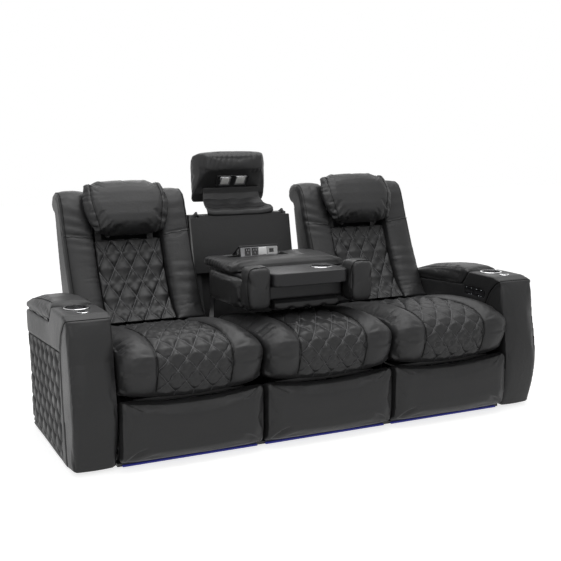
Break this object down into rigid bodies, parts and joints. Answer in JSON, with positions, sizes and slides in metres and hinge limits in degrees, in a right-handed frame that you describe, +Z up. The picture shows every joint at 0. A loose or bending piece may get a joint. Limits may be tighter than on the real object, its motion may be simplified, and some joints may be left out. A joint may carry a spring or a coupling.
{
  "type": "reclining sofa with drop-down console",
  "caption": "Upholstered reclining sofa with quilted seats, folding footrests, tilting headrests, lidded arm storage and a middle back that folds down into a console.",
  "frame": {"origin": "middle of the footprint on the floor", "axes": "+X along the sofa to a sitter's left, as seen from the front to the right; +Y to its rear; +Z up"},
  "size_m": [2.205, 1.1919, 1.192],
  "materials": {
    "leather": "satin",
    "leather_quilt": "satin",
    "leather_dark": "satin",
    "back_fabric": "matte",
    "frame_steel": "satin",
    "zinc_steel": "satin",
    "polished_steel": "polished",
    "plastic": "matte",
    "gloss_plastic": "gloss",
    "led": "gloss"
  },
  "bodies": {
    "frame": {"base_frame": "frame_steel", "front_beam": "frame_steel", "feet": "plastic", "slide_rails": "zinc_steel", "arm_left": "leather", "arm_right": "leather", "arm_fronts": "leather", "arm_sides": "leather_quilt", "storage_bins": "plastic", "arm_cups": "polished_steel", "accessory_docks": "polished_steel", "control_panels": "gloss_plastic", "lid_hinges": "zinc_steel", "led_strip": "led", "centre_seat": "leather", "centre_front": "leather", "console_uprights": "zinc_steel", "back_panel": "leather_dark"},
    "rocker_recline_left": {"rocker_recline_left": "gloss_plastic"},
    "rocker_recline_right": {"rocker_recline_right": "gloss_plastic"},
    "rocker_headrest_left": {"rocker_headrest_left": "gloss_plastic"},
    "rocker_headrest_right": {"rocker_headrest_right": "gloss_plastic"},
    "lid_left": {"lid_left": "leather"},
    "lid_right": {"lid_right": "leather"},
    "console": {"console_body": "leather_dark", "console_pad": "leather", "console_bolsters": "leather", "console_quilt": "leather_quilt", "console_cups": "polished_steel"},
    "outlet": {"outlet_unit": "plastic"},
    "headrest_centre": {"headrest_centre": "leather", "headrest_centre_shell": "leather_dark"},
    "carriage_left": {"carriage_left": "frame_steel", "seat_left": "leather"},
    "back_left": {"back_frame_left": "frame_steel", "back_wings_left": "leather", "back_quilt_left": "leather_quilt", "back_cover_left": "back_fabric"},
    "headrest_left": {"headrest_left": "leather", "headrest_arms_left": "zinc_steel"},
    "link_a_left": {"link_a_left": "zinc_steel"},
    "link_b_left": {"link_b_left": "zinc_steel"},
    "link_c_left": {"link_c_left": "zinc_steel"},
    "link_d_left": {"link_d_left": "zinc_steel"},
    "footrest_left": {"footrest_left": "leather", "footrest_frame_left": "frame_steel"},
    "carriage_right": {"carriage_right": "frame_steel", "seat_right": "leather"},
    "back_right": {"back_frame_right": "frame_steel", "back_wings_right": "leather", "back_quilt_right": "leather_quilt", "back_cover_right": "back_fabric"},
    "headrest_right": {"headrest_right": "leather", "headrest_arms_right": "zinc_steel"},
    "link_a_right": {"link_a_right": "zinc_steel"},
    "link_b_right": {"link_b_right": "zinc_steel"},
    "link_c_right": {"link_c_right": "zinc_steel"},
    "link_d_right": {"link_d_right": "zinc_steel"},
    "footrest_right": {"footrest_right": "leather", "footrest_frame_right": "frame_steel"}
  },
  "joints": [
    {"name": "seat_slide_left", "type": "slide", "parent": "frame", "child": "carriage_left", "axis": [0, -1, 0], "range_m": [0, 0.09]},
    {"name": "recline_left", "type": "hinge", "parent": "carriage_left", "child": "back_left", "pos_m": [-0.615, 0.15, 0.425], "axis": [-1, 0, 0], "range_deg": [0, 35]},
    {"name": "footrest_drive_left", "type": "hinge", "parent": "carriage_left", "child": "link_a_left", "pos_m": [-0.615, -0.3566, 0.2129], "axis": [-1, 0, 0], "range_deg": [0, 60]},
    {"name": "link_b_pivot_left", "type": "hinge", "parent": "link_a_left", "child": "link_b_left", "pos_m": [-0.615, -0.39718, 0.13257], "axis": [-1, 0, 0], "range_deg": [-120, 0]},
    {"name": "link_c_pivot_left", "type": "hinge", "parent": "link_b_left", "child": "link_c_left", "pos_m": [-0.615, -0.39278, 0.22246], "axis": [-1, 0, 0], "range_deg": [0, 120]},
    {"name": "link_d_pivot_left", "type": "hinge", "parent": "link_a_left", "child": "link_d_left", "pos_m": [-0.615, -0.43776, 0.05223], "axis": [-1, 0, 0], "range_deg": [-120, 0]},
    {"name": "footrest_pivot_left", "type": "hinge", "parent": "link_d_left", "child": "footrest_left", "pos_m": [-0.615, -0.42896, 0.23202], "axis": [-1, 0, 0], "range_deg": [0, 150]},
    {"name": "headrest_tilt_left", "type": "hinge", "parent": "back_left", "child": "headrest_left", "pos_m": [-0.615, 0.28782, 0.8238], "axis": [1, 0, 0], "range_deg": [0, 30]},
    {"name": "seat_slide_right", "type": "slide", "parent": "frame", "child": "carriage_right", "axis": [0, -1, 0], "range_m": [0, 0.09]},
    {"name": "recline_right", "type": "hinge", "parent": "carriage_right", "child": "back_right", "pos_m": [0.615, 0.15, 0.425], "axis": [-1, 0, 0], "range_deg": [0, 35]},
    {"name": "footrest_drive_right", "type": "hinge", "parent": "carriage_right", "child": "link_a_right", "pos_m": [0.615, -0.3566, 0.2129], "axis": [-1, 0, 0], "range_deg": [0, 60]},
    {"name": "link_b_pivot_right", "type": "hinge", "parent": "link_a_right", "child": "link_b_right", "pos_m": [0.615, -0.39718, 0.13257], "axis": [-1, 0, 0], "range_deg": [-120, 0]},
    {"name": "link_c_pivot_right", "type": "hinge", "parent": "link_b_right", "child": "link_c_right", "pos_m": [0.615, -0.39278, 0.22246], "axis": [-1, 0, 0], "range_deg": [0, 120]},
    {"name": "link_d_pivot_right", "type": "hinge", "parent": "link_a_right", "child": "link_d_right", "pos_m": [0.615, -0.43776, 0.05223], "axis": [-1, 0, 0], "range_deg": [-120, 0]},
    {"name": "footrest_pivot_right", "type": "hinge", "parent": "link_d_right", "child": "footrest_right", "pos_m": [0.615, -0.42896, 0.23202], "axis": [-1, 0, 0], "range_deg": [0, 150]},
    {"name": "headrest_tilt_right", "type": "hinge", "parent": "back_right", "child": "headrest_right", "pos_m": [0.615, 0.28782, 0.8238], "axis": [1, 0, 0], "range_deg": [0, 30]},
    {"name": "console_fold", "type": "hinge", "parent": "frame", "child": "console", "pos_m": [0, 0.111, 0.554], "axis": [-1, 0, 0], "range_deg": [0, 101.3]},
    {"name": "outlet_lid", "type": "hinge", "parent": "console", "child": "outlet", "pos_m": [-0.051, 0.146, 0.719], "axis": [-1, 0, 0], "range_deg": [-31, 0]},
    {"name": "headrest_centre_tilt", "type": "hinge", "parent": "frame", "child": "headrest_centre", "pos_m": [0, 0.4096, 0.8933], "axis": [1, 0, 0], "range_deg": [0, 30]},
    {"name": "lid_hinge_left", "type": "hinge", "parent": "frame", "child": "lid_left", "pos_m": [-1.094, 0.256, 0.53264], "axis": [0, -0.9986, 0.052], "range_deg": [0, 80]},
    {"name": "rocker_recline_pivot_left", "type": "hinge", "parent": "frame", "child": "rocker_recline_left", "pos_m": [-0.9275, -0.25629, 0.527], "axis": [0, 1, 0], "range_deg": [-8, 8], "stiffness_Nm_per_rad": 0.1},
    {"name": "rocker_headrest_pivot_left", "type": "hinge", "parent": "frame", "child": "rocker_headrest_left", "pos_m": [-0.9275, -0.3346, 0.527], "axis": [0, 1, 0], "range_deg": [-8, 8], "stiffness_Nm_per_rad": 0.1},
    {"name": "lid_hinge_right", "type": "hinge", "parent": "frame", "child": "lid_right", "pos_m": [1.094, 0.256, 0.53264], "axis": [0, 0.9986, -0.052], "range_deg": [0, 80]},
    {"name": "rocker_recline_pivot_right", "type": "hinge", "parent": "frame", "child": "rocker_recline_right", "pos_m": [0.9275, -0.25629, 0.527], "axis": [0, 1, 0], "range_deg": [-8, 8], "stiffness_Nm_per_rad": 0.1},
    {"name": "rocker_headrest_pivot_right", "type": "hinge", "parent": "frame", "child": "rocker_headrest_right", "pos_m": [0.9275, -0.3346, 0.527], "axis": [0, 1, 0], "range_deg": [-8, 8], "stiffness_Nm_per_rad": 0.1}
  ],
  "couplings": [
    {"joint": "seat_slide_left", "follows": "recline_left", "m_per_rad": 0.147},
    {"joint": "link_b_pivot_left", "follows": "footrest_drive_left", "ratio": -2},
    {"joint": "link_c_pivot_left", "follows": "footrest_drive_left", "ratio": 2},
    {"joint": "link_d_pivot_left", "follows": "footrest_drive_left", "ratio": -2},
    {"joint": "footrest_pivot_left", "follows": "footrest_drive_left", "ratio": 2.5},
    {"joint": "seat_slide_right", "follows": "recline_right", "m_per_rad": 0.147},
    {"joint": "link_b_pivot_right", "follows": "footrest_drive_right", "ratio": -2},
    {"joint": "link_c_pivot_right", "follows": "footrest_drive_right", "ratio": 2},
    {"joint": "link_d_pivot_right", "follows": "footrest_drive_right", "ratio": -2},
    {"joint": "footrest_pivot_right", "follows": "footrest_drive_right", "ratio": 2.5}
  ]
}
